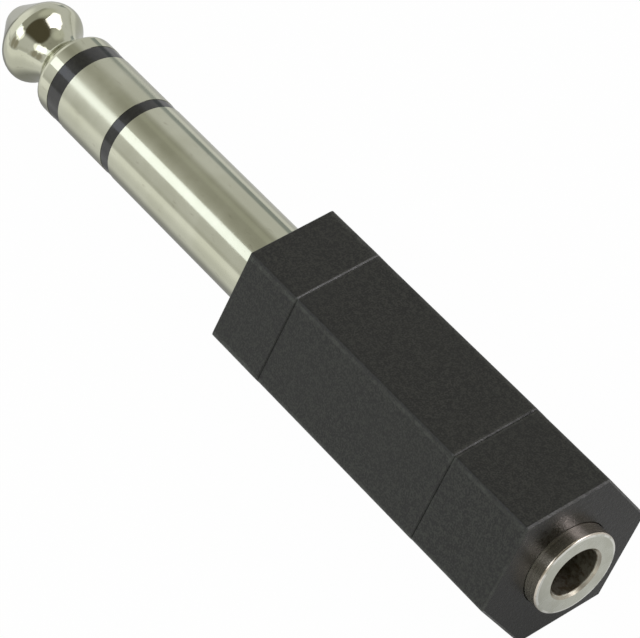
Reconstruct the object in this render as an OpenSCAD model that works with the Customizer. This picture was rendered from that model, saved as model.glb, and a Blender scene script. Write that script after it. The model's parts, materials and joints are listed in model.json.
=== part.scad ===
// Headphone adapter: 6.35 mm three-contact plug to 3.5 mm socket in a hexagonal plastic shell.
// The plug's axis is X: the tip points to -X and the socket opens to +X.
// The origin is on that axis, in the plane of the shell's front face. One flat of the shell faces down.

/* [Plug outside] */
// Diameter of the plug's ring and sleeve contacts
plug_d = 6.35; // [6.2:0.05:6.5]
// Length of bare sleeve contact in front of the shell
sleeve_len = 16.7; // [14:0.1:18]
// Length of the ring contact
ring_len = 5.15; // [3.5:0.05:6.5]
// Width of the black band between tip and ring
tip_band_w = 1.4; // [0.6:0.05:1.8]
// Width of the black band between ring and sleeve
ring_band_w = 0.95; // [0.6:0.05:1.8]
// How far the black bands stand back from the metal, on the radius
band_inset = 0.03; // [0.01:0.01:0.08]

/* [Plug tip] */
// Length of the tip contact, from its nose to the first black band
tip_len = 8.85; // [8.3:0.05:9.5]
// Radius of the rounded nose
nose_r = 1.55; // [1.3:0.05:2]
// Slope of the cone behind the nose, from the axis
nose_slope = 38; // [34:1:42]
// Largest diameter of the ball
ball_d = 6.26; // [6:0.02:6.34]
// Rounding in front of the ball's widest part
ball_front_r = 1.65; // [1.3:0.05:1.9]
// Rounding behind the ball's widest part
ball_back_r = 1.1; // [0.8:0.05:1.3]
// Slope of the ball's back, from the axis
back_slope = 42; // [38:1:48]
// Diameter of the neck
neck_d = 3.8; // [3.4:0.05:4.2]
// Rounding between the ball's back and the neck
neck_flare_r = 1.8; // [1.4:0.05:2]
// Rounding between the neck and the collar
neck_fillet_r = 0.5; // [0.3:0.05:0.7]
// Slope of the collar behind the neck, from the axis
collar_slope = 44; // [36:1:52]
// Rounding of the collar's edge
collar_edge_r = 0.5; // [0.3:0.05:0.8]
// Length of the full diameter behind that edge
collar_len = 1; // [0.8:0.05:1.2]

/* [Plug inside] */
// Diameter of the tip contact's rod
rod_d = 1.6; // [1.2:0.05:2]
// Wall of the two insulating tubes
tube_wall = 0.5; // [0.35:0.05:0.55]
// Wall of the ring contact's tube
ring_tube_wall = 0.4; // [0.3:0.05:0.45]
// Diameter of the sleeve's flange, held in the front cap
anchor_d = 8.6; // [8:0.1:9]
// Thickness of that flange
anchor_t = 1.6; // [1.2:0.1:2]
// Plastic in front of the flange
anchor_depth = 1.6; // [1.2:0.1:1.9]
// Radius of the notches that stop the flange from turning
anchor_notch_r = 0.55; // [0.4:0.05:0.7]
// Number of notches
anchor_notches = 8; // [4:1:10]
// Gap that the moulded plastic leaves behind the sleeve's full diameter
shrink_gap = 0.05; // [0.02:0.01:0.1]
// Diameter of the groove in front of the flange, which the plastic grips
grip_d = 5.9; // [5.6:0.05:5.95]
// Diameter of the hub behind the flange
hub_d = 5.8; // [5.6:0.05:6.2]
// Diameter of the hub's seat for its terminal
seat_d = 5.4; // [5.3:0.05:5.5]
// Thickness of the insulating washers
washer_t = 0.6; // [0.4:0.05:0.7]
// Height of a rolled or riveted end
peen_t = 0.2; // [0.15:0.05:0.3]
// How far a rolled end laps over its washer
peen_lap = 0.25; // [0.15:0.05:0.3]

/* [Terminals] */
// Thickness of the plug's stamped terminals
tag_t = 0.35; // [0.25:0.05:0.4]
// Width of a terminal's leg
tag_w = 1.4; // [1:0.1:1.6]
// Rim of the sleeve terminal round its seat
sleeve_tag_rim = 1; // [0.9:0.05:1.1]
// Rim of the ring terminal round its tube
ring_tag_rim = 1.1; // [1:0.05:1.2]
// Rim of the tip terminal round its rod
tip_tag_rim = 1.2; // [1.1:0.05:1.3]
// Rim of the washer under the ring terminal, past the sleeve's seat
ring_washer_rim = 0.5; // [0.3:0.05:0.6]
// Rim of the washer under the tip terminal, past the ring's tube
tip_washer_rim = 0.65; // [0.5:0.05:0.7]
// How far the legs reach behind the last terminal
tag_reach = 1.35; // [1.2:0.05:1.4]
// Angle of the sleeve terminal's leg round the axis
sleeve_tag_angle = 318; // [310:1:325]
// Angle of the ring terminal's leg
ring_tag_angle = 130; // [125:1:138]
// Angle of the tip terminal's leg
tip_tag_angle = 230; // [222:1:236]

/* [Shell] */
// Length of the front cap, up to its seam
front_len = 5.05; // [4.8:0.05:6]
// Length of the rear cap, from its seam
rear_len = 7.05; // [6.5:0.05:8]
// Across flats of the barrel
barrel_af = 11.1; // [11:0.05:12]
// How far the front cap stands proud of the barrel, on each flat
front_proud = 0.02; // [0:0.01:0.06]
// How far the rear cap stands back from the barrel, on each flat
rear_inset = 0.02; // [0:0.01:0.08]
// Rounding of the six long edges
long_edge_r = 0.22; // [0.1:0.02:0.4]
// Bevel of the end faces
end_bevel = 0.14; // [0.05:0.01:0.3]
// Bevel on each side of a seam
seam_bevel = 0.09; // [0.03:0.01:0.15]
// Diameter of the round space inside
core_d = 8.4; // [8.3:0.05:8.6]
// Across flats of the caps' spigots
spigot_af = 9.9; // [9.7:0.05:10.1]
// Length of a spigot
spigot_len = 2.5; // [2:0.1:2.8]
// Glue gap round a spigot
glue_gap = 0.05; // [0.03:0.01:0.08]
// Plastic behind the sleeve's flange, which its terminal sits on
back_wall = 1.2; // [1:0.05:1.4]
// Thickness of the rear cap's end wall
end_wall = 1.8; // [1.4:0.1:2]
// Thickness of the barrel's inner stop
stop_t = 0.6; // [0.4:0.05:0.8]
// Height of the barrel's inner stop
stop_h = 0.5; // [0.35:0.05:0.55]
// Width of the key that stops the socket from turning
key_w = 1.2; // [1:0.05:1.5]
// Height of the key
key_h = 0.7; // [0.5:0.05:0.8]
// Length of the key
key_len = 5.8; // [4:0.1:6]

/* [Socket] */
// Bore of the socket
bore_d = 3.6; // [3.55:0.01:3.7]
// Outside diameter of the nose
nose_d = 6.3; // [6:0.05:6.6]
// How far the nose stands out of the shell
nose_proud = 1.1; // [0.8:0.05:1.5]
// Rounding of the nose's outer edge
nose_edge_r = 0.16; // [0.08:0.01:0.3]
// Bevel of the bore's mouth
mouth_bevel = 0.2; // [0.1:0.01:0.25]
// Diameter of the bushing's flange
flange_d = 8.2; // [7.8:0.05:8.25]
// Thickness of the flange
flange_t = 1; // [0.8:0.05:1.2]
// Diameter of the bushing's tube inside the frame
bush_tube_d = 5.4; // [5:0.05:5.6]
// Length of that tube, with the tag it holds
bush_tube_len = 2; // [1.6:0.1:2.4]
// Depth of the socket, from the nose's face to its floor
socket_depth = 15.2; // [15:0.1:15.6]
// Thickness of the frame's floor
floor_t = 1.6; // [1.3:0.1:2]
// Clearance round the frame, on the radius
frame_gap = 0.1; // [0.06:0.01:0.15]
// Clearance of the passage round the bore, on the radius
passage_gap = 0.2; // [0.15:0.01:0.25]
// Clearance round the flange and the sleeve tag, on the radius
flange_gap = 0.1; // [0.05:0.01:0.15]
// Clearance of the nose in the end wall, on the radius
nose_gap = 0.05; // [0.03:0.01:0.08]

/* [Socket contacts] */
// Thickness of a contact spring
leaf_t = 0.25; // [0.2:0.01:0.3]
// Width of a contact spring
leaf_w = 1.8; // [1.5:0.1:2]
// Distance of a spring's root from the axis
leaf_root_r = 2.45; // [2.35:0.05:2.55]
// Distance of a spring's crest from the axis, when no plug is in
crest_r = 1.32; // [1.2:0.02:1.5]
// Rounding of a crest
crest_bend_r = 0.55; // [0.4:0.05:0.7]
// Slope of a spring beside its crest
crest_slope = 38; // [32:1:44]
// Depth of the tip spring's crest behind the nose's face
tip_crest_depth = 12; // [11.8:0.1:12.4]
// Depth of the ring spring's crest behind the nose's face
ring_crest_depth = 8.9; // [8.6:0.1:9.4]
// Length of the bare tails in front of the barrel's stop
tail_len = 1.6; // [1.5:0.05:1.8]
// Room for a spring to swing out in its slot
swing_room = 0.32; // [0.3:0.01:0.4]
// Clearance beside a spring
side_gap = 0.1; // [0.06:0.01:0.15]
// Length of the bridge over a spring's root
bridge_len = 1.8; // [1.4:0.1:2]
// Distance of the sleeve strip from the axis
strip_r = 3.2; // [3.1:0.05:3.25]
// Thickness of the sleeve strip
strip_t = 0.3; // [0.2:0.05:0.35]
// Width of the sleeve strip
strip_w = 1.6; // [1.3:0.1:1.8]
// Rim of the sleeve tag round the bushing's tube
tag_rim = 1.3; // [1.1:0.05:1.35]
// Angle of the tip spring round the axis
tip_leaf_angle = 270; // [265:1:275]
// Angle of the ring spring
ring_leaf_angle = 90; // [85:1:95]
// Angle of the sleeve strip
strip_angle = 0; // [-5:1:5]

/* [Leads] */
// Clear length for the leads between the plug's legs and the socket's tails; it sets the shell's length
lead_room = 1.85; // [1.7:0.05:5]
// Diameter of a lead's wire
wire_d = 0.44; // [0.36:0.02:0.5]
// Thickness of a lead's jacket
jacket_t = 0.18; // [0.15:0.01:0.25]
// Bare wire at each end of a lead, past its solder
bare_len = 0.3; // [0.1:0.05:0.35]
// Length of a solder joint
solder_len = 0.85; // [0.7:0.05:0.95]
// Solder round the wire
solder_wall = 0.24; // [0.15:0.01:0.3]
// Solder between the wire and the metal that it lies on
solder_film = 0.03; // [0.02:0.01:0.06]

/* [Hidden] */
$fn = 64;

BLACK = "#34332f";
NICKEL = "#c9c6b4";
TIN = "#b9b9b4";
BRONZE = "#b98a4e";
IVORY = "#e6dfc9";
FIBRE = "#a5694a";
SOLDER = "#a9abad";

past = 1;                          // how far a cut runs past the face that it opens
plug_r = plug_d / 2;

// Stations along the plug, from the shell's front face towards the tip
sleeve_x = -sleeve_len;
ring_back_x = sleeve_x - ring_band_w;
ring_front_x = ring_back_x - ring_len;
tip_back_x = ring_front_x - tip_band_w;
nose_x = tip_back_x - tip_len;

// Radii of the nested rod and tubes
rod_r = rod_d / 2;
tip_tube_r = rod_r + tube_wall;
ring_tube_r = tip_tube_r + ring_tube_wall;
sleeve_bore_r = ring_tube_r + tube_wall;

// Stack of terminals and washers behind the sleeve's flange
anchor_end = anchor_depth + anchor_t;
sleeve_tag_x = anchor_end + back_wall;
sleeve_tag_end = sleeve_tag_x + tag_t;
sleeve_end = sleeve_tag_end + peen_t;
ring_tag_x = sleeve_end + washer_t;
ring_tag_end = ring_tag_x + tag_t;
ring_end = ring_tag_end + peen_t;
tip_tag_x = ring_end + washer_t;
tip_tag_end = tip_tag_x + tag_t;
leg_end = tip_tag_end + tag_reach;

// Outer radii of the discs in that stack
sleeve_tag_r = seat_d / 2 + sleeve_tag_rim;
ring_washer_r = seat_d / 2 + ring_washer_rim;
ring_tag_r = ring_tube_r + ring_tag_rim;
tip_washer_r = ring_tube_r + tip_washer_rim;
tip_tag_r = rod_r + tip_tag_rim;

// Stations of the socket and the shell, which follow from the stack and the leads in front of them
tail_x = leg_end + lead_room;
stop_x = tail_x + tail_len;
frame_x = stop_x + stop_t;
passage_end_x = frame_x + floor_t;
face_x = passage_end_x + socket_depth;
shell_len = face_x - nose_proud;
flange_back_x = shell_len - end_wall;
flange_front_x = flange_back_x - flange_t;
tag_front_x = flange_front_x - strip_t;
bush_end_x = flange_front_x - bush_tube_len;
front_seam_x = front_len;
rear_seam_x = shell_len - rear_len;

// Sizes of the shell
core_r = core_d / 2;
front_af = barrel_af + 2 * front_proud;
rear_af = barrel_af - 2 * rear_inset;
rebate_af = spigot_af + 2 * glue_gap;
rebate_len = spigot_len + glue_gap;
rear_core_r = max(core_r, flange_d / 2 + flange_gap, bush_tube_d / 2 + tag_rim + flange_gap);
stop_hole_r = max(core_r - stop_h, norm([strip_r + strip_t, strip_w / 2]) + side_gap);

// Radii of the socket
bore_r = bore_d / 2;
passage_r = bore_r + passage_gap;
bush_tube_r = bush_tube_d / 2;
frame_r = core_r - frame_gap;
leaf_back_r = leaf_root_r + leaf_t;

// Springs: each is a strip from its tail past its crest
tip_crest_x = face_x - tip_crest_depth;
ring_crest_x = face_x - ring_crest_depth;
crest_rise = leaf_root_r - crest_r;
crest_half = (crest_bend_r + leaf_t) * sin(crest_slope);
crest_drop = (crest_bend_r + leaf_t) * (1 - cos(crest_slope));
ramp_len = (crest_rise - crest_drop) / tan(crest_slope);
leaf_foot = crest_half + ramp_len;  // from a crest to where its strip leaves the root's line
leaf_lip = 0.75;                    // share of the ramp that the strip's free end climbs
crest_steps = 4;                    // steps of a crest's bend, on each side

// Leads: each runs straight along its solder joint at both ends and bends between them
wire_r = wire_d / 2;
jacket_r = wire_r + jacket_t;
lead_lift = wire_r + solder_film;
lead_start = leg_end - solder_len;
lead_bend_start = leg_end;
lead_bend_end = tail_x;
lead_end = tail_x + solder_len;
lead_steps = 12;
lead_sides = 10;
lead_step = 0.01;                   // half of the stretch over which a lead's direction is taken

// Where each lead lies: angle and radius at the plug's end, then at the socket's end
TIP_LEAD = [tip_tag_angle, tip_tag_r + lead_lift, tip_leaf_angle, leaf_back_r + lead_lift];
RING_LEAD = [ring_tag_angle, ring_tag_r + lead_lift, ring_leaf_angle, leaf_back_r + lead_lift];
SLEEVE_LEAD = [sleeve_tag_angle, sleeve_tag_r - tag_t - lead_lift, 360 + strip_angle, strip_r - lead_lift];

// Turns a solid that stands on Z to lie along X, with its foot at x
module on_x(x) translate([x, 0, 0]) rotate([0, 90, 0]) children();

module rod(x0, x1, r) on_x(x0) cylinder(h = x1 - x0, r = r);

module ring(x0, x1, inner, outer) {
    difference() {
        rod(x0, x1, outer);
        rod(x0 - past, x1 + past, inner);
    }
}

// A flat strip seen from the side: its points are [x, distance from the axis]
module blade(points, width, angle) {
    rotate([angle, 0, 0])
        linear_extrude(height = width, center = true)
            polygon(points);
}

// A block beside the axis, for slots and windows
module slot(x0, x1, r0, r1, width, angle) {
    rotate([angle, 0, 0])
        translate([x0, r0, -width / 2])
            cube([x1 - x0, r1 - r0, width]);
}

// Hexagon with rounded corners, a flat at each end of Z once it lies along X
function hex_corner(k, af, r) = (af / 2 - r) / cos(30) * [cos(60 * k + 30), sin(60 * k + 30)];

module hex_outline(af, r) {
    polygon([for (k = [0:5], side = [-30, 30])
        hex_corner(k, af, r) + r * [cos(60 * k + 30 + side), sin(60 * k + 30 + side)]]);
    for (k = [0:5])
        translate(hex_corner(k, af, r))
            circle(r = r);
}

module hex_bar(x0, x1, af, r) on_x(x0) linear_extrude(height = x1 - x0) hex_outline(af, r);

// Bevels both ends of a hexagonal bar: one slab for each pair of flats
module bevelled_slab(x0, x1, af, bevel0, bevel1, angle) {
    h = af / 2;
    rotate([angle, 0, 0])
        linear_extrude(height = 2 * af, center = true)
            polygon([[x0, h - bevel0], [x0 + bevel0, h], [x1 - bevel1, h], [x1, h - bevel1],
                     [x1, bevel1 - h], [x1 - bevel1, -h], [x0 + bevel0, -h], [x0, bevel0 - h]]);
}

module bevelled_hex(x0, x1, af, bevel0, bevel1) {
    intersection() {
        hex_bar(x0, x1, af, long_edge_r);
        bevelled_slab(x0, x1, af, bevel0, bevel1, 30);
        bevelled_slab(x0, x1, af, bevel0, bevel1, 90);
        bevelled_slab(x0, x1, af, bevel0, bevel1, 150);
    }
}

module spigot(x0, x1) hex_bar(x0, x1, spigot_af, long_edge_r);

module rebate(x0, x1) hex_bar(x0, x1, rebate_af, long_edge_r);

// Plug

// Outline of the tip, drawn as [distance from the axis, x]. The ball follows from the nose.
wide_x = nose_x + nose_r * (1 - sin(nose_slope))
         + (ball_d / 2 - ball_front_r + (ball_front_r - nose_r) * cos(nose_slope)) / tan(nose_slope)
         + ball_front_r * sin(nose_slope);
nose_c = [0, nose_x + nose_r];
nose_edge = nose_c + nose_r * [cos(nose_slope), -sin(nose_slope)];
front_c = [ball_d / 2 - ball_front_r, wide_x];
ball_front = front_c + ball_front_r * [cos(nose_slope), -sin(nose_slope)];
back_c = [ball_d / 2 - ball_back_r, wide_x];
ball_back = back_c + ball_back_r * [cos(back_slope), sin(back_slope)];
neck_r = neck_d / 2;
neck_in_r = neck_r + neck_flare_r * (1 - cos(back_slope));
neck_in = [neck_in_r, ball_back[1] + (ball_back[0] - neck_in_r) / tan(back_slope)];
neck_in_c = neck_in + neck_flare_r * [cos(back_slope), sin(back_slope)];

// The collar follows from the first black band
collar_c = [plug_r - collar_edge_r, tip_back_x - collar_len];
collar_in = collar_c + collar_edge_r * [cos(collar_slope), -sin(collar_slope)];
neck_out_r = neck_r + neck_fillet_r * (1 - cos(collar_slope));
neck_out = [neck_out_r, collar_in[1] - (collar_in[0] - neck_out_r) / tan(collar_slope)];
neck_out_c = neck_out + neck_fillet_r * [cos(collar_slope), -sin(collar_slope)];

// Fills one end of the neck, from its edge on a cone to the neck's floor
module neck_fillet(edge, centre, r) {
    difference() {
        polygon([[0, edge[1]], edge, [neck_r, centre[1]], [0, centre[1]]]);
        translate(centre) circle(r = r);
    }
}

module tip_outline() {
    intersection() {
        translate(nose_c) circle(r = nose_r);
        translate([0, nose_x]) square([nose_r, 2 * nose_r]);
    }
    intersection() {
        translate(front_c) circle(r = ball_front_r);
        translate([0, wide_x - ball_front_r]) square([ball_d / 2, ball_front_r]);
    }
    translate(back_c) circle(r = ball_back_r);
    polygon([nose_c, nose_edge, ball_front, front_c, back_c, ball_back, neck_in, [0, neck_in[1]]]);
    neck_fillet(neck_in, neck_in_c, neck_flare_r);
    translate([0, wide_x]) square([neck_r, tip_back_x - wide_x]);
    neck_fillet(neck_out, neck_out_c, neck_fillet_r);
    polygon([[0, neck_out[1]], neck_out, collar_in, collar_c, [plug_r, collar_c[1]], [plug_r, tip_back_x],
             [0, tip_back_x]]);
    translate(collar_c) circle(r = collar_edge_r);
}

module tip_contact() color(NICKEL) {
    rotate([0, 90, 0]) rotate_extrude() tip_outline();
    rod(tip_back_x, tip_tag_end, rod_r);
    on_x(tip_tag_end) cylinder(h = peen_t, r1 = rod_r + peen_lap, r2 = rod_r);
}

module tip_insulator() color(BLACK) {
    ring(tip_back_x, ring_front_x, rod_r, plug_r - band_inset);
    ring(ring_front_x, ring_end, rod_r, tip_tube_r);
}

module ring_contact() color(NICKEL) {
    ring(ring_front_x, ring_back_x, tip_tube_r, plug_r);
    ring(ring_back_x, ring_end, tip_tube_r, ring_tube_r);
    ring(ring_tag_end, ring_end, tip_tube_r, ring_tube_r + peen_lap);
}

module ring_insulator() color(BLACK) {
    ring(ring_back_x, sleeve_x, ring_tube_r, plug_r - band_inset);
    ring(sleeve_x, sleeve_end, ring_tube_r, sleeve_bore_r);
}

// The part of the sleeve that the front cap is moulded round
module anchor() {
    rod(0, anchor_end, grip_d / 2);
    rod(anchor_end, sleeve_tag_x, hub_d / 2);
    difference() {
        rod(anchor_depth, anchor_end, anchor_d / 2);
        for (k = [0:anchor_notches - 1])
            rotate([360 * k / anchor_notches, 0, 0])
                translate([0, anchor_d / 2, 0])
                    rod(anchor_depth - past, anchor_end + past, anchor_notch_r);
    }
}

module sleeve_contact() color(NICKEL) {
    difference() {
        union() {
            rod(sleeve_x, 0, plug_r);
            anchor();
            rod(sleeve_tag_x, sleeve_end, seat_d / 2);
            rod(sleeve_tag_end, sleeve_end, seat_d / 2 + peen_lap);
        }
        rod(sleeve_x - past, sleeve_end + past, sleeve_bore_r);
    }
}

// A stamped ring terminal: a disc with one leg bent back along the axis
module terminal(x0, inner, outer, angle) {
    ring(x0, x0 + tag_t, inner, outer - tag_t / 2);
    blade([[x0, inner + tag_t], [x0, outer], [leg_end, outer], [leg_end, outer - tag_t],
           [x0 + tag_t, outer - tag_t], [x0 + tag_t, inner + tag_t]], tag_w, angle);
}

module sleeve_terminal() color(TIN) terminal(sleeve_tag_x, seat_d / 2, sleeve_tag_r, sleeve_tag_angle);

module ring_washer() color(FIBRE) ring(sleeve_end, ring_tag_x, ring_tube_r, ring_washer_r);

module ring_terminal() color(TIN) terminal(ring_tag_x, ring_tube_r, ring_tag_r, ring_tag_angle);

module tip_washer() color(FIBRE) ring(ring_end, tip_tag_x, rod_r, tip_washer_r);

module tip_terminal() color(TIN) terminal(tip_tag_x, rod_r, tip_tag_r, tip_tag_angle);

// Shell

module front_cap() color(BLACK) {
    difference() {
        union() {
            bevelled_hex(0, front_seam_x, front_af, end_bevel, seam_bevel);
            spigot(front_seam_x - seam_bevel, front_seam_x + spigot_len);
        }
        anchor();
        rod(-past, shrink_gap, plug_r);
        rod(sleeve_tag_x, front_seam_x + spigot_len + past, core_r);
    }
}

module barrel() color(BLACK) {
    difference() {
        bevelled_hex(front_seam_x, rear_seam_x, barrel_af, seam_bevel, seam_bevel);
        rebate(front_seam_x - past, front_seam_x + rebate_len);
        rebate(rear_seam_x - rebate_len, rear_seam_x + past);
        rod(front_seam_x, stop_x, core_r);
        rod(stop_x - past, frame_x + past, stop_hole_r);
        difference() {
            rod(frame_x, rear_seam_x, core_r);
            slot(frame_x, frame_x + key_len, core_r - key_h, core_r + past, key_w, strip_angle + 180);
        }
    }
}

module rear_cap() color(BLACK) {
    difference() {
        union() {
            bevelled_hex(rear_seam_x, shell_len, rear_af, seam_bevel, end_bevel);
            spigot(rear_seam_x - spigot_len, rear_seam_x + seam_bevel);
        }
        rod(rear_seam_x - spigot_len - past, flange_back_x, rear_core_r);
        rod(flange_back_x - past, shell_len + past, nose_d / 2 + nose_gap);
    }
}

// Socket

module socket_bushing() color(NICKEL) {
    bush_nose_r = nose_d / 2;
    rotate([0, 90, 0])
        rotate_extrude()
            difference() {
                union() {
                    translate([0, bush_end_x]) square([bush_tube_r, face_x - nose_edge_r - bush_end_x]);
                    translate([0, flange_front_x]) square([flange_d / 2, flange_t]);
                    translate([0, flange_front_x])
                        square([bush_nose_r, face_x - nose_edge_r - flange_front_x]);
                    translate([0, flange_front_x])
                        square([bush_nose_r - nose_edge_r, face_x - flange_front_x]);
                    translate([bush_nose_r - nose_edge_r, face_x - nose_edge_r])
                        circle(r = nose_edge_r);
                }
                translate([-past, bush_end_x - past])
                    square([bore_r + past, face_x - bush_end_x + 2 * past]);
                polygon([[0, face_x - bore_r - mouth_bevel], [bore_r + mouth_bevel + past, face_x + past],
                         [0, face_x + past]]);
            }
}

module socket_sleeve_tag() color(TIN) {
    ring(tag_front_x, flange_front_x, bush_tube_r, bush_tube_r + tag_rim);
    slot(tail_x, flange_front_x, strip_r, strip_r + strip_t, strip_w, strip_angle);
}

// Slot in the frame for one spring: a covered root, an open arm and a window into the passage
module spring_slot(crest_x, angle) {
    width = leaf_w + 2 * side_gap;
    bridge_end = frame_x + bridge_len;
    end_x = crest_x + leaf_foot + side_gap;
    slot(frame_x - past, bridge_end + past, leaf_root_r, leaf_back_r + swing_room, width, angle);
    slot(bridge_end, end_x, leaf_root_r, core_r + past, width, angle);
    slot(crest_x - leaf_foot, end_x, 0, leaf_root_r + past, width, angle);
}

module socket_frame() color(IVORY) {
    difference() {
        rod(frame_x, tag_front_x, frame_r);
        rod(passage_end_x, tag_front_x + past, passage_r);
        rod(bush_end_x, tag_front_x + past, bush_tube_r);
        spring_slot(tip_crest_x, tip_leaf_angle);
        spring_slot(ring_crest_x, ring_leaf_angle);
        slot(frame_x - past, tag_front_x + past, strip_r, core_r + past, strip_w + 2 * side_gap,
             strip_angle);
        slot(frame_x - past, frame_x + key_len + side_gap, core_r - key_h - side_gap, core_r + past,
             key_w + 2 * side_gap, strip_angle + 180);
    }
}

// Points of the bend at a spring's crest, with radius r about the bend's centre
function crest_arc(crest_x, r) =
    [for (k = [-crest_steps:crest_steps])
        [crest_x + r * sin(k * crest_slope / crest_steps),
         crest_r + leaf_t + crest_bend_r - r * cos(k * crest_slope / crest_steps)]];

function reversed(list) = [for (k = [len(list) - 1:-1:0]) list[k]];

// Side view of a spring: tail and root in line, a ramp down to the crest and a lip behind it
function spring_points(crest_x) =
    let (lift = leaf_lip * (crest_rise - crest_drop),
         lip_x = crest_x + crest_half + lift / tan(crest_slope),
         lip_r = crest_r + crest_drop + lift,
         miter = leaf_t * tan(crest_slope / 2))
    concat([[tail_x, leaf_root_r], [crest_x - leaf_foot, leaf_root_r]],
           crest_arc(crest_x, crest_bend_r + leaf_t),
           [[lip_x, lip_r], [lip_x - leaf_t * sin(crest_slope), lip_r + leaf_t * cos(crest_slope)]],
           reversed(crest_arc(crest_x, crest_bend_r)),
           [[crest_x - leaf_foot + miter, leaf_back_r], [tail_x, leaf_back_r]]);

module socket_tip_spring() color(BRONZE) blade(spring_points(tip_crest_x), leaf_w, tip_leaf_angle);

module socket_ring_spring() color(BRONZE) blade(spring_points(ring_crest_x), leaf_w, ring_leaf_angle);

// Leads

function smooth(u) = u <= 0 ? 0 : u >= 1 ? 1 : u * u * (3 - 2 * u);

function lead_point(x, lead) =
    let (u = smooth((x - lead_bend_start) / (lead_bend_end - lead_bend_start)),
         angle = lead[0] + (lead[2] - lead[0]) * u,
         r = lead[1] + (lead[3] - lead[1]) * u)
    [x, r * cos(angle), r * sin(angle)];

function unit(v) = v / norm(v);

// One ring of points square to the lead at x
function lead_ring(x, lead, r) =
    let (p = lead_point(x, lead),
         along = unit(lead_point(x + lead_step, lead) - lead_point(x - lead_step, lead)),
         out = unit([0, p[1], p[2]]),
         side = unit(out - (out * along) * along),
         other = cross(along, side))
    [for (k = [0:lead_sides - 1])
        p + r * (cos(360 * k / lead_sides) * side + sin(360 * k / lead_sides) * other)];

// Triangles between ring i and the next one, wound for an outer or an inner wall
function wall_faces(i, inner) =
    [for (k = [0:lead_sides - 1], half = [0, 1])
        let (a = i * lead_sides + k,
             b = i * lead_sides + (k + 1) % lead_sides,
             c = a + lead_sides,
             d = b + lead_sides,
             t = half == 0 ? [a, b, c] : [b, d, c])
        inner ? [t[0], t[2], t[1]] : t];

// Stations of the jackets; the wires have the same ones, and a few more at their bare ends
jacket_start = lead_bend_start + bare_len;
jacket_end = lead_bend_end - bare_len;
JACKET_XS = [for (k = [0:lead_steps]) jacket_start + (jacket_end - jacket_start) * k / lead_steps];

module lead_wire(lead) {
    xs = concat([lead_start, lead_bend_start], JACKET_XS, [lead_bend_end, lead_end]);
    last = len(xs) - 1;
    polyhedron(points = [for (x = xs) each lead_ring(x, lead, wire_r)],
               faces = concat([[for (k = [lead_sides - 1:-1:0]) k]],
                              [for (i = [0:last - 1]) each wall_faces(i, false)],
                              [[for (k = [0:lead_sides - 1]) last * lead_sides + k]]));
}

module lead_jacket(lead) {
    outer = [for (x = JACKET_XS) each lead_ring(x, lead, jacket_r)];
    inner = [for (x = JACKET_XS) each lead_ring(x, lead, wire_r)];
    shift = len(outer);
    last = len(JACKET_XS) - 1;
    ends = [for (i = [0, last], k = [0:lead_sides - 1], half = [0, 1])
        let (a = i * lead_sides + k,
             b = i * lead_sides + (k + 1) % lead_sides,
             t = half == 0 ? [a, a + shift, b] : [b, a + shift, b + shift])
        i == 0 ? t : [t[0], t[2], t[1]]];
    polyhedron(points = concat(outer, inner),
               faces = concat([for (i = [0:last - 1]) each wall_faces(i, false)],
                              [for (i = [0:last - 1], t = wall_faces(i, true))
                                  [t[0] + shift, t[1] + shift, t[2] + shift]],
                              ends));
}

module tip_lead_wire() color(BRONZE) lead_wire(TIP_LEAD);

module tip_lead_jacket() color("white") lead_jacket(TIP_LEAD);

module ring_lead_wire() color(BRONZE) lead_wire(RING_LEAD);

module ring_lead_jacket() color("firebrick") lead_jacket(RING_LEAD);

module sleeve_lead_wire() color(BRONZE) lead_wire(SLEEVE_LEAD);

module sleeve_lead_jacket() color("dimgray") lead_jacket(SLEEVE_LEAD);

// A mound of solder over a wire that lies on a metal face; inside is true where it is the inner face
module solder_mound(x0, angle, wire_at, inside) {
    r = wire_r + solder_wall;
    face_at = inside ? wire_at + lead_lift : wire_at - lead_lift;
    rotate([angle, 0, 0])
        difference() {
            translate([0, wire_at, 0])
                on_x(x0)
                    rotate_extrude()
                        difference() {
                            union() {
                                translate([0, r]) square([r, solder_len - 2 * r]);
                                translate([0, r]) circle(r = r);
                                translate([0, solder_len - r]) circle(r = r);
                            }
                            translate([-r - past, -past])
                                square([r + past + wire_r, solder_len + 2 * past]);
                        }
            translate([x0 - past, inside ? face_at : face_at - 2 * r, -2 * r])
                cube([solder_len + 2 * past, 2 * r, 4 * r]);
        }
}

module plug_solder() color(SOLDER) {
    x0 = lead_start;
    solder_mound(x0, TIP_LEAD[0], TIP_LEAD[1], false);
    solder_mound(x0, RING_LEAD[0], RING_LEAD[1], false);
    solder_mound(x0, SLEEVE_LEAD[0], SLEEVE_LEAD[1], true);
}

module socket_solder() color(SOLDER) {
    x0 = lead_bend_end;
    solder_mound(x0, TIP_LEAD[2], TIP_LEAD[3], false);
    solder_mound(x0, RING_LEAD[2], RING_LEAD[3], false);
    solder_mound(x0, SLEEVE_LEAD[2], SLEEVE_LEAD[3], true);
}

front_cap();
barrel();
rear_cap();
tip_contact();
tip_insulator();
ring_contact();
ring_insulator();
sleeve_contact();
sleeve_terminal();
ring_washer();
ring_terminal();
tip_washer();
tip_terminal();
socket_bushing();
socket_sleeve_tag();
socket_frame();
socket_tip_spring();
socket_ring_spring();
tip_lead_wire();
tip_lead_jacket();
ring_lead_wire();
ring_lead_jacket();
sleeve_lead_wire();
sleeve_lead_jacket();
plug_solder();
socket_solder();
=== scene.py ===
"""Looks of the headphone adapter: materials, floor, room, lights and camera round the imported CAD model.

Everything is in metres, in the CAD's own frame. The plug's axis is X, with the plug's tip at -X and the
socket at +X. Z is up. The shell is a hexagon with one flat on top, here called the upper flat. The
photograph also shows its neighbour on the -Y side, the left flat.
"""

import json
import math

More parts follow.
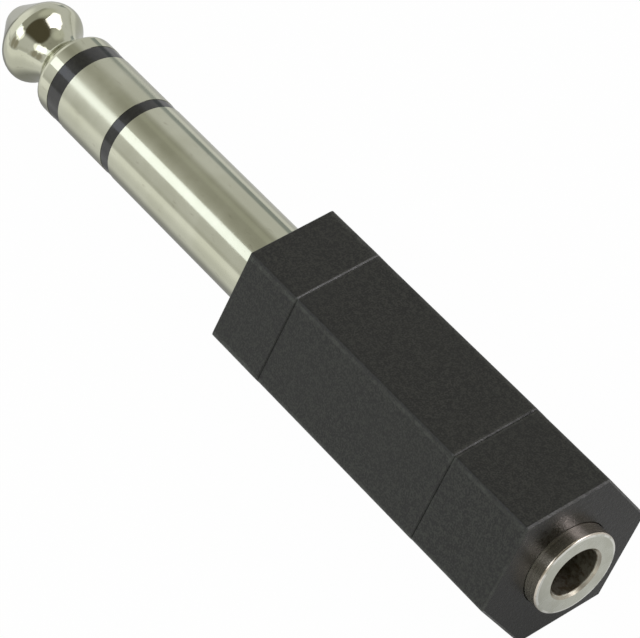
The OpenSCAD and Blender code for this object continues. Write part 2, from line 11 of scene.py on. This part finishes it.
import bpy
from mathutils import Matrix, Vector


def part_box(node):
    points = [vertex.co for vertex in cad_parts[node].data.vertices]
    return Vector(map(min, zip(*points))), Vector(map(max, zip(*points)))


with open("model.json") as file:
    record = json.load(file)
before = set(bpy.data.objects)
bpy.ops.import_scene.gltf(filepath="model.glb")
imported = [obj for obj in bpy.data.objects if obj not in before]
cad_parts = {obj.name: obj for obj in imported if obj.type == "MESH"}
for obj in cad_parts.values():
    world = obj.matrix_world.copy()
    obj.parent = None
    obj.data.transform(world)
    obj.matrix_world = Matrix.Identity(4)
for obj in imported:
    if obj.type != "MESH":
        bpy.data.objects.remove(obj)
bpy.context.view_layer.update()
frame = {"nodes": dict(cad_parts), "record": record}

MM = 0.001

# Places that the materials need, all read from the CAD
FRONT_SEAM, REAR_SEAM = (corner.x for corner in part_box("barrel"))
SHELL_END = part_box("rear_cap")[1].x
FLAT_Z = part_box("barrel")[1].z
RIDGE_Y = -FLAT_Z * math.tan(math.radians(30))  # the edge between the upper and the left flat
EDGE_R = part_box("barrel")[1].y                  # from the axis to the rounded long edges
nose_radii = [math.hypot(v.co.y, v.co.z)
              for v in frame["nodes"]["socket_bushing"].data.vertices if v.co.x > SHELL_END]
BORE_R, NOSE_R = min(nose_radii), max(nose_radii)
FLOOR_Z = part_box("front_cap")[0].z - 0.002 * MM  # just under the lowest flat


# Helpers

def colour(r, g, b):
    return (r, g, b, 1.0)


WHITE = colour(1.0, 1.0, 1.0)


def add_object(name, data):
    made = bpy.data.objects.new(name, data)
    bpy.context.scene.collection.objects.link(made)
    return made


def direction(azimuth, elevation):
    """Unit vector for angles in degrees: azimuth 0 is +X, 90 is +Y."""
    a, e = math.radians(azimuth), math.radians(elevation)
    return Vector((math.cos(a) * math.cos(e), math.sin(a) * math.cos(e), math.sin(e)))


class Nodes:
    """A node tree, with a short call for each kind of node that the materials use.

    Each value that a call takes is a number, a colour or the output of another node.
    """

    def __init__(self, tree):
        self.tree = tree
        self.tree.nodes.clear()

    def new(self, kind, **inputs):
        node = self.tree.nodes.new(kind)
        for name, value in inputs.items():
            self.put(node, name.replace("_", " "), value)
        return node

    def put(self, node, name, value):
        if isinstance(value, bpy.types.NodeSocket):
            self.tree.links.new(value, node.inputs[name])
        else:
            node.inputs[name].default_value = value

    # Places

    def place(self):
        """The point in the object's own frame, in metres."""
        return self.new("ShaderNodeTexCoord").outputs["Object"]

    def axes(self, vector):
        outputs = self.new("ShaderNodeSeparateXYZ", Vector=vector).outputs
        return outputs["X"], outputs["Y"], outputs["Z"]

    def off_axis(self, y, z):
        """Distance of a point from the plug's axis."""
        return self.math("SQRT", self.total(self.product(y, y), self.product(z, z)))

    # Numbers

    def noise(self, vector, scale, detail=2.0, rough=0.5):
        """Noise with scale cells to the metre: 8500 is a grain of about 0.12 mm."""
        node = self.new("ShaderNodeTexNoise", Vector=vector, Scale=scale, Detail=detail, Roughness=rough)
        return node.outputs["Fac"]

    def stretched_noise(self, vector, scales, detail=2.0):
        """Noise with a scale for each axis: fine along X and coarse across it gives turned lines."""
        scaled = self.new("ShaderNodeMapping", Vector=vector, Scale=scales).outputs["Vector"]
        return self.noise(scaled, 1.0, detail, 0.6)

    def math(self, operation, a, b=0.0):
        node = self.new("ShaderNodeMath")
        node.operation = operation
        self.put(node, 0, a)
        self.put(node, 1, b)
        return node.outputs[0]

    def chain(self, operation, values):
        result = values[0]
        for value in values[1:]:
            result = self.math(operation, result, value)
        return result

    def product(self, *values):
        return self.chain("MULTIPLY", values)

    def total(self, *values):
        return self.chain("ADD", values)

    def less(self, *values):
        """The first value less the others."""
        return self.chain("SUBTRACT", values)

    def most(self, *values):
        return self.chain("MAXIMUM", values)

    def span(self, value, low, high, to_low=0.0, to_high=1.0):
        """to_low up to low, to_high past high, and a smooth step between."""
        node = self.new("ShaderNodeMapRange", Value=value, From_Min=low, From_Max=high,
                        To_Min=to_low, To_Max=to_high)
        node.interpolation_type = "SMOOTHSTEP"
        return node.outputs["Result"]

    def fall(self, value, low, high, start=1.0):
        """start up to low, 0 past high."""
        return self.span(value, low, high, start, 0.0)

    # Colours and surfaces

    def blend(self, factor, a, b):
        """Colour a where factor is 0, colour b where it is 1."""
        node = self.new("ShaderNodeMix")
        node.data_type = "RGBA"
        self.put(node, 0, factor)
        self.put(node, 6, a)
        self.put(node, 7, b)
        return node.outputs[2]

    def bump(self, height, distance, strength):
        node = self.new("ShaderNodeBump", Height=height, Distance=distance, Strength=strength)
        return node.outputs["Normal"]

    def mix_shader(self, factor, a, b):
        node = self.new("ShaderNodeMixShader", Fac=factor)
        self.put(node, 1, a)
        self.put(node, 2, b)
        return node.outputs[0]

    def output(self, kind, shader):
        self.new(kind, Surface=shader)

    def surface(self, **settings):
        shader = self.new("ShaderNodeBsdfPrincipled", **settings)
        self.output("ShaderNodeOutputMaterial", shader.outputs[0])


def material(name):
    made = bpy.data.materials.new(name)
    made.use_nodes = True
    return made, Nodes(made.node_tree)


# Materials

def shell_plastic():
    """Black plastic with a fine eroded grain, painted highlights along its seams and edges, partly with
    wear, and painted shade on one ridge and on the end face.
    """
    pit, peak = colour(0.0045, 0.0043, 0.0036), colour(0.0310, 0.0310, 0.0262)
    cloudy = colour(0.0165, 0.0160, 0.0140)
    # Painted shade: blacker tones for the end face and for the ridge
    end_shade_black, ridge_shade_black = colour(0.004, 0.004, 0.003), colour(0.006, 0.006, 0.005)
    # Lighter colour for wear and painted highlight on the seams and edges
    wear_and_highlight = colour(0.085, 0.085, 0.078)

    made, n = material("shell_plastic")
    at = n.place()
    x, y, z = n.axes(at)
    grain = n.noise(at, 8500.0, detail=1.0)
    fleck = n.noise(at, 3200.0, rough=0.6)
    cloud = n.noise(at, 160.0)
    chips = n.noise(at, 1300.0, detail=3.0, rough=0.7)

    # The flats' grain, and the end face painted blacker as shade
    shade = n.total(n.product(grain, 0.55), n.product(fleck, 0.45))
    base = n.blend(n.span(shade, 0.40, 0.64), pit, peak)
    base = n.blend(n.span(cloud, 0.35, 0.7, 0.0, 0.22), base, cloudy)
    end_face = n.span(x, SHELL_END - 0.03 * MM, SHELL_END - 0.01 * MM)
    base = n.blend(n.product(end_face, 0.46), base, end_shade_black)

    # Lines on the seams' bevels: the front one, across the upper flat only, is a painted highlight; the
    # rear one, all round, is wear with a painted highlight, fainter low down
    front_seam_highlight = n.product(n.span(z, FLAT_Z - 0.30 * MM, FLAT_Z - 0.13 * MM),
                           n.span(x, FRONT_SEAM - 0.19 * MM, FRONT_SEAM - 0.10 * MM),
                           n.fall(x, FRONT_SEAM + 0.08 * MM, FRONT_SEAM + 0.18 * MM, 0.70),
                           n.span(chips, 0.30, 0.45, 0.75, 1.0))
    off_rear_seam = n.math("ABSOLUTE", n.less(x, REAR_SEAM))
    rear_seam_wear_and_highlight = n.product(n.fall(off_rear_seam, 0.16 * MM, 0.30 * MM, 0.70),
                          n.span(chips, 0.42, 0.60, 0.2, 1.0),
                          n.span(z, FLAT_Z - 1.05 * MM, FLAT_Z - 0.15 * MM, 0.25, 0.8))

    # Long edges: wear with a painted highlight, stronger on the front cap. On the ridge between the upper
    # and the left flat the photograph has the line just below the edge, on the left flat, and the edge
    # itself dark. There the line is painted highlight and the edge gets painted shade.
    by_ridge = n.product(n.span(z, FLAT_Z - 0.55 * MM, FLAT_Z - 0.50 * MM),
                         n.fall(y, RIDGE_Y + 0.70 * MM, RIDGE_Y + 0.80 * MM))
    below_ridge_highlight = n.product(by_ridge, n.span(z, FLAT_Z - 0.41 * MM, FLAT_Z - 0.29 * MM),
                            n.fall(z, FLAT_Z - 0.19 * MM, FLAT_Z - 0.07 * MM))
    other_edges = n.product(n.span(n.off_axis(y, z), EDGE_R - 0.125 * MM, EDGE_R - 0.035 * MM),
                            n.less(1.0, by_ridge))
    long_edge_wear_and_highlight = n.product(n.most(other_edges, below_ridge_highlight), n.span(chips, 0.35, 0.65, 0.1, 0.5),
                          n.span(x, FRONT_SEAM - 0.5 * MM, FRONT_SEAM, 1.8, 1.0))
    # Painted shade: the ridge itself is darkened so that its rounding shows no light
    above_ridge_shade = n.product(n.span(z, FLAT_Z - 0.15 * MM, FLAT_Z - 0.05 * MM),
                            n.fall(y, RIDGE_Y + 0.05 * MM, RIDGE_Y + 0.25 * MM))
    base = n.blend(n.product(above_ridge_shade, 0.5), base, ridge_shade_black)

    # Bevel of the end face: wear with a painted highlight
    end_edge_wear_and_highlight = n.product(n.span(x, SHELL_END - 0.15 * MM, SHELL_END - 0.12 * MM),
                         n.fall(x, SHELL_END - 0.02 * MM, SHELL_END),
                         n.span(chips, 0.35, 0.65, 0.25, 0.7))
    # Wear and painted highlight together, mixed in one lighter colour
    highlit_and_worn_lines = n.most(front_seam_highlight, rear_seam_wear_and_highlight, long_edge_wear_and_highlight, end_edge_wear_and_highlight)
    base = n.blend(n.product(highlit_and_worn_lines, 0.7), base, wear_and_highlight)

    # Smoother along these worn and highlit lines, and on the end face
    smooth = n.most(highlit_and_worn_lines, n.product(end_face, 0.6))
    rough = n.less(n.span(fleck, 0.3, 0.7, 0.40, 0.54), n.product(smooth, 0.26))
    height = n.total(n.product(grain, 0.6), n.product(fleck, 0.5))
    n.surface(Base_Color=base, Roughness=rough, Specular_IOR_Level=0.45,
              Normal=n.bump(height, 0.035 * MM, 0.7))
    return made


def bright_nickel(name, low_rough, high_rough, line_depth=0.0012 * MM):
    """Polished nickel, turned round the axis, with faint lines, haze and handling marks."""
    dull, bright = colour(0.545, 0.550, 0.425), colour(0.600, 0.605, 0.480)
    pitted = colour(0.36, 0.34, 0.26)

    made, n = material(name)
    at = n.place()
    turned = n.stretched_noise(at, (14000.0, 60.0, 60.0), detail=3.0)
    haze = n.noise(at, 260.0, detail=3.0, rough=0.6)
    pits = n.stretched_noise(at, (900.0, 2600.0, 2600.0))
    base = n.blend(n.span(haze, 0.35, 0.7), dull, bright)
    base = n.blend(n.span(pits, 0.62, 0.78, 0.0, 0.35), base, pitted)
    n.surface(Base_Color=base, Metallic=1.0, Roughness=n.span(haze, 0.3, 0.7, low_rough, high_rough),
              Normal=n.bump(turned, line_depth, 0.5))
    return made


def satin_nickel():
    """The socket's nose: a satin face, a rim painted brighter as a highlight, a dull side wall, and a
    mouth and bore painted dark as shade.
    """
    dull, bright = colour(0.60, 0.605, 0.515), colour(0.70, 0.71, 0.625)
    # Painted shade for the bore and its mouth, painted highlight for the rim
    bore_shade_colour, mouth_shade_tint = colour(0.20, 0.16, 0.105), colour(0.42, 0.36, 0.28)
    rim_highlight_tint, wall_tint = colour(0.97, 0.97, 0.90), colour(0.58, 0.50, 0.41)

    made, n = material("satin_nickel")
    at = n.place()
    _, y, z = n.axes(at)
    out = n.off_axis(y, z)
    turned = n.stretched_noise(at, (9000.0, 150.0, 150.0), detail=3.0)
    haze = n.noise(at, 700.0, detail=3.0, rough=0.6)

    # From the axis outwards: bore, bevelled mouth, face, rim, side wall
    inside = n.fall(out, BORE_R + 0.02 * MM, BORE_R + 0.06 * MM)
    # Painted shade: the bore darkened, in specks, and its bevelled mouth too
    bore_shade = n.product(inside, n.span(n.noise(at, 2400.0, detail=3.0, rough=0.7), 0.35, 0.65, 0.5, 1.0))
    mouth = n.product(n.span(out, BORE_R + 0.04 * MM, BORE_R + 0.07 * MM),
                      n.fall(out, BORE_R + 0.18 * MM, BORE_R + 0.24 * MM))
    # Painted highlight: a brighter band on the rim
    rim = n.product(n.span(out, NOSE_R - 0.25 * MM, NOSE_R - 0.17 * MM),
                    n.span(n.noise(at, 800.0, rough=0.6), 0.38, 0.52))
    wall = n.span(out, NOSE_R - 0.10 * MM, NOSE_R - 0.03 * MM)

    base = n.blend(n.span(haze, 0.3, 0.7), dull, bright)
    base = n.blend(bore_shade, base, bore_shade_colour)
    base = n.blend(n.product(mouth, 0.7), base, mouth_shade_tint)
    base = n.blend(rim, base, rim_highlight_tint)
    base = n.blend(n.product(wall, 0.8), base, wall_tint)

    polish = n.most(n.span(out, NOSE_R - 0.18 * MM, NOSE_R - 0.13 * MM),
                    n.fall(out, BORE_R + 0.19 * MM, BORE_R + 0.22 * MM, 0.3))
    rough = n.less(n.span(haze, 0.3, 0.7, 0.22, 0.30), n.product(polish, 0.12))
    rough = n.total(rough, n.product(inside, 0.28))
    tarnish = n.product(wall, n.span(turned, 0.35, 0.65, 0.03, 0.13))
    n.surface(Base_Color=base, Metallic=n.less(1.0, tarnish), Roughness=rough,
              Normal=n.bump(turned, 0.003 * MM, 0.6))
    return made


def band_plastic():
    """The plug's two insulating bands: glossy black."""
    made, n = material("band_plastic")
    spots = n.noise(n.place(), 2600.0, rough=0.6)
    base = n.blend(n.span(spots, 0.35, 0.7), colour(0.0040, 0.0038, 0.0024), colour(0.013, 0.013, 0.009))
    n.surface(Base_Color=base, Roughness=n.span(spots, 0.3, 0.7, 0.08, 0.14), Specular_IOR_Level=0.66,
              Normal=n.bump(spots, 0.006 * MM, 0.5))
    return made


def plain_plastic(name, low, high, rough, scale):
    """A moulded plastic: two close tones in fine grain."""
    made, n = material(name)
    spots = n.noise(n.place(), scale, detail=3.0, rough=0.6)
    base = n.blend(n.span(spots, 0.35, 0.68), colour(*low), colour(*high))
    n.surface(Base_Color=base, Roughness=n.span(spots, 0.3, 0.7, rough - 0.06, rough + 0.06),
              Normal=n.bump(spots, 0.010 * MM, 0.5))
    return made


def plain_metal(name, low, high, rough, scales):
    """Stamped, drawn or molten metal: faint lines or ripples and a slight tarnish."""
    made, n = material(name)
    at = n.place()
    lines = n.stretched_noise(at, scales, detail=3.0)
    haze = n.noise(at, 900.0, detail=3.0, rough=0.6)
    base = n.blend(n.span(haze, 0.35, 0.7), colour(*low), colour(*high))
    n.surface(Base_Color=base, Metallic=1.0, Roughness=n.span(lines, 0.3, 0.7, rough - 0.06, rough + 0.08),
              Normal=n.bump(lines, 0.004 * MM, 0.5))
    return made


# Looks of the pieces inside the shell: darker and lighter tone, roughness, noise scale
PLAIN_PLASTICS = {
    "frame_plastic": ((0.60, 0.55, 0.42), (0.72, 0.68, 0.56), 0.42, 1800.0),
    "washer_fibre": ((0.26, 0.09, 0.04), (0.38, 0.15, 0.08), 0.55, 3800.0),
    "jacket_white": ((0.64, 0.64, 0.61), (0.76, 0.76, 0.73), 0.34, 1500.0),
    "jacket_red": ((0.38, 0.020, 0.020), (0.50, 0.040, 0.036), 0.34, 1500.0),
    "jacket_black": ((0.012, 0.012, 0.012), (0.030, 0.030, 0.030), 0.34, 1500.0),
}
ROLLED, RIPPLED = (900.0, 5200.0, 5200.0), (1400.0, 1400.0, 1400.0)
PLAIN_METALS = {
    "tinned_brass": ((0.52, 0.52, 0.49), (0.66, 0.66, 0.63), 0.30, ROLLED),
    "spring_bronze": ((0.58, 0.36, 0.17), (0.70, 0.47, 0.26), 0.24, ROLLED),
    "copper_wire": ((0.66, 0.30, 0.18), (0.80, 0.42, 0.28), 0.26, ROLLED),
    "solder": ((0.42, 0.43, 0.44), (0.58, 0.59, 0.60), 0.26, RIPPLED),
}

# The look of each of the record's material slots
LOOKS = {
    "shell_plastic": shell_plastic(),
    "bright_nickel": bright_nickel("bright_nickel", 0.08, 0.14),
    "satin_nickel": satin_nickel(),
    "band_plastic": band_plastic(),
    **{name: plain_plastic(name, *look) for name, look in PLAIN_PLASTICS.items()},
    **{name: plain_metal(name, *look) for name, look in PLAIN_METALS.items()},
}
# Two nodes that differ in polish from the plug's sleeve, whose slot they share
OWN_LOOKS = {
    "ring_contact": bright_nickel("rubbed_nickel", 0.17, 0.24),
    "tip_contact": bright_nickel("polished_nickel", 0.04, 0.08, 0.0003 * MM),
}
SLOT_OF = {part["node"]: part["material_slot"] for part in frame["record"]["subparts"]}

for name, shown in frame["nodes"].items():
    for slot in shown.material_slots:
        slot.material = OWN_LOOKS.get(name, LOOKS[SLOT_OF[name]])


# Floor

FLOOR_SIDE = 1.6
CAMERA_WHITE = 0.985  # how white the camera sees it; the rest is matte and takes the soft shadow


def floor_material():
    """White to the camera, with the adapter's soft shadow. Metal mirrors it as an emission in painted
    tones that go by place, with a painted shadow of the adapter.
    """
    made, n = material("floor")
    rays = n.new("ShaderNodeLightPath").outputs
    x, y, _ = n.axes(n.place())
    before = n.product(y, -1.0)

    # Painted tones of the floor before the adapter: a painted shadow close to it, then bright, then dim
    # far off
    shade = n.product(n.fall(before, 3.5 * MM, 8.0 * MM, 0.46), n.span(x, 24.0 * MM, 32.0 * MM, 1.0, 0.74))
    front = n.less(n.span(before, 8.0 * MM, 26.0 * MM, 0.78, 1.03), shade,
                   n.span(before, 70.0 * MM, 120.0 * MM, 0.0, 0.36))
    # Painted tones of the floor behind it
    back = n.total(n.span(y, 4.0 * MM, 13.0 * MM, 0.60, 0.56), n.span(y, 18.0 * MM, 45.0 * MM, 0.0, 0.24))
    tone = n.blend(n.span(y, -1.0 * MM, 2.0 * MM), front, back)

    seen = n.most(rays["Is Camera Ray"], rays["Is Transmission Ray"])
    matte = n.new("ShaderNodeBsdfDiffuse", Color=colour(0.86, 0.86, 0.85)).outputs[0]
    white = n.new("ShaderNodeEmission", Color=WHITE, Strength=1.0).outputs[0]
    mirrored = n.new("ShaderNodeEmission", Color=tone, Strength=1.0).outputs[0]
    plain = n.mix_shader(n.product(seen, CAMERA_WHITE), matte, white)
    n.output("ShaderNodeOutputMaterial", n.mix_shader(rays["Is Glossy Ray"], plain, mirrored))
    return made


def make_floor():
    half = FLOOR_SIDE / 2
    mesh = bpy.data.meshes.new("floor")
    mesh.from_pydata([(-half, -half, 0), (half, -half, 0), (half, half, 0), (-half, half, 0)],
                     [], [(0, 1, 2, 3)])
    mesh.materials.append(floor_material())
    floor = add_object("floor", mesh)
    floor.location = (0.0, 0.0, FLOOR_Z)
    return floor


floor = make_floor()


# Room: a grey one that only the metal mirrors. The camera sees white, and matte surfaces an even light.

LOW_WALL, HIGH_WALL = colour(0.60, 0.60, 0.58), colour(0.70, 0.70, 0.70)
CEILING = colour(0.40, 0.395, 0.355)

# Patches on its walls and ceiling, placed by what the plug and the nose mirror in the photograph. A
# later one covers an earlier one. Each has its azimuth and elevation, its core and its reach, all in
# degrees, and its tone.
PATCHES = (
    ((94, 58), (10, 30), (0.64, 0.64, 0.58)),       # pale ceiling: the top of ball and collar
    ((124, 4), (5, 12), (0.34, 0.37, 0.38)),        # low strip behind: a grey line all along the plug
    ((-103, 12), (7, 18), (0.38, 0.355, 0.30)),     # two grey places low in front: the ball's left
    ((-78, 12), (7, 17), (0.38, 0.355, 0.30)),      # edge and the collar
    ((-165, 18), (16, 36), (1.05, 1.05, 1.05)),     # bright wall past the tip: ball and collar
    ((158, 54), (3, 8), (0.47, 0.47, 0.42)),        # a second grey line all along the plug
    ((-68, 35), (12, 15), (1.50, 1.50, 1.50)),      # front window in three panes: the two white
    ((-86, 37), (12, 15), (1.50, 1.50, 1.50)),      # streaks, on either side of the neck
    ((-106, 40), (13, 16), (1.45, 1.45, 1.45)),
    ((42, 39), (9, 13), (4.5, 4.3, 4.6)),           # back window: the white square on the ball
    ((14, 49), (9, 17), (0.15, 0.135, 0.10)),       # dark place round and above the camera: the dark
    ((-20, 52), (20, 33), (0.095, 0.083, 0.055)),   # patch beside that square
    ((29, 32), (6, 12), (2.4, 2.4, 2.4)),           # lamp: the glint on the nose's rounded rim
)
# Light on matte surfaces: dim and warm all round, bright and greenish from the front
EVEN_ROUND, EVEN_FRONT = colour(0.390, 0.325, 0.285), colour(0.76, 0.95, 0.81)


def make_world():
    world = bpy.data.worlds.new("studio")
    bpy.context.scene.world = world
    world.use_nodes = True
    n = Nodes(world.node_tree)
    rays = n.new("ShaderNodeLightPath").outputs
    towards = n.new("ShaderNodeTexCoord").outputs["Generated"]
    _, _, up = n.axes(towards)

    def patch(azimuth, elevation, core, reach):
        """1 within core degrees of a direction, 0 past reach."""
        dot = n.new("ShaderNodeVectorMath")
        dot.operation = "DOT_PRODUCT"
        n.put(dot, 0, towards)
        n.put(dot, 1, direction(azimuth, elevation))
        return n.span(dot.outputs["Value"], math.cos(math.radians(reach)), math.cos(math.radians(core)))

    # up is the sine of the elevation
    room = n.blend(n.span(up, 0.0, 0.16), LOW_WALL, HIGH_WALL)
    room = n.blend(n.span(up, 0.60, 0.76), room, CEILING)
    for centre, size, tone in PATCHES:
        room = n.blend(patch(*centre, *size), room, colour(*tone))
    even = n.blend(patch(azimuth=-100, elevation=15, core=20, reach=85), EVEN_ROUND, EVEN_FRONT)
    light = n.blend(rays["Is Glossy Ray"], even, room)
    light = n.blend(n.most(rays["Is Camera Ray"], rays["Is Transmission Ray"]), light, WHITE)
    background = n.new("ShaderNodeBackground", Color=light, Strength=1.0)
    n.output("ShaderNodeOutputWorld", background.outputs[0])


make_world()


# Lamps

def softbox(name, azimuth, elevation, distance, width, height, radiance, tint):
    """A rectangular light that faces the adapter, as bright as radiance whatever its size."""
    lamp = bpy.data.lights.new(name, "AREA")
    lamp.shape = "RECTANGLE"
    lamp.size, lamp.size_y = width, height
    lamp.energy = radiance * math.pi * width * height
    lamp.color = tint
    made = add_object(name, lamp)
    towards = direction(azimuth, elevation)
    made.location = towards * distance
    made.rotation_euler = towards.to_track_quat("Z", "Y").to_euler()


softbox("key", azimuth=-107, elevation=40, distance=0.60, width=0.74, height=0.21,
        radiance=1.1, tint=(0.81, 0.865, 1.0))
softbox("back", azimuth=48, elevation=38, distance=0.60, width=0.45, height=0.26,
        radiance=1.55, tint=(0.92, 0.88, 1.0))


# Camera, found from the photograph by a pinhole fit

FOCAL_PX = 3400.0
PHOTO_WIDTH_PX = 640
CAMERA_AT = (0.12316, -0.08909, 0.16129)
CAMERA_TURN = (42.818, -0.195, 53.624)  # degrees

camera_data = bpy.data.cameras.new("camera")
camera_data.sensor_width = 36.0
camera_data.lens = camera_data.sensor_width * FOCAL_PX / PHOTO_WIDTH_PX
camera_data.clip_start, camera_data.clip_end = 0.01, 10.0
camera = add_object("camera", camera_data)
camera.location = CAMERA_AT
camera.rotation_euler = [math.radians(angle) for angle in CAMERA_TURN]
bpy.context.scene.camera = camera

bpy.context.scene.view_settings.view_transform = "Standard"
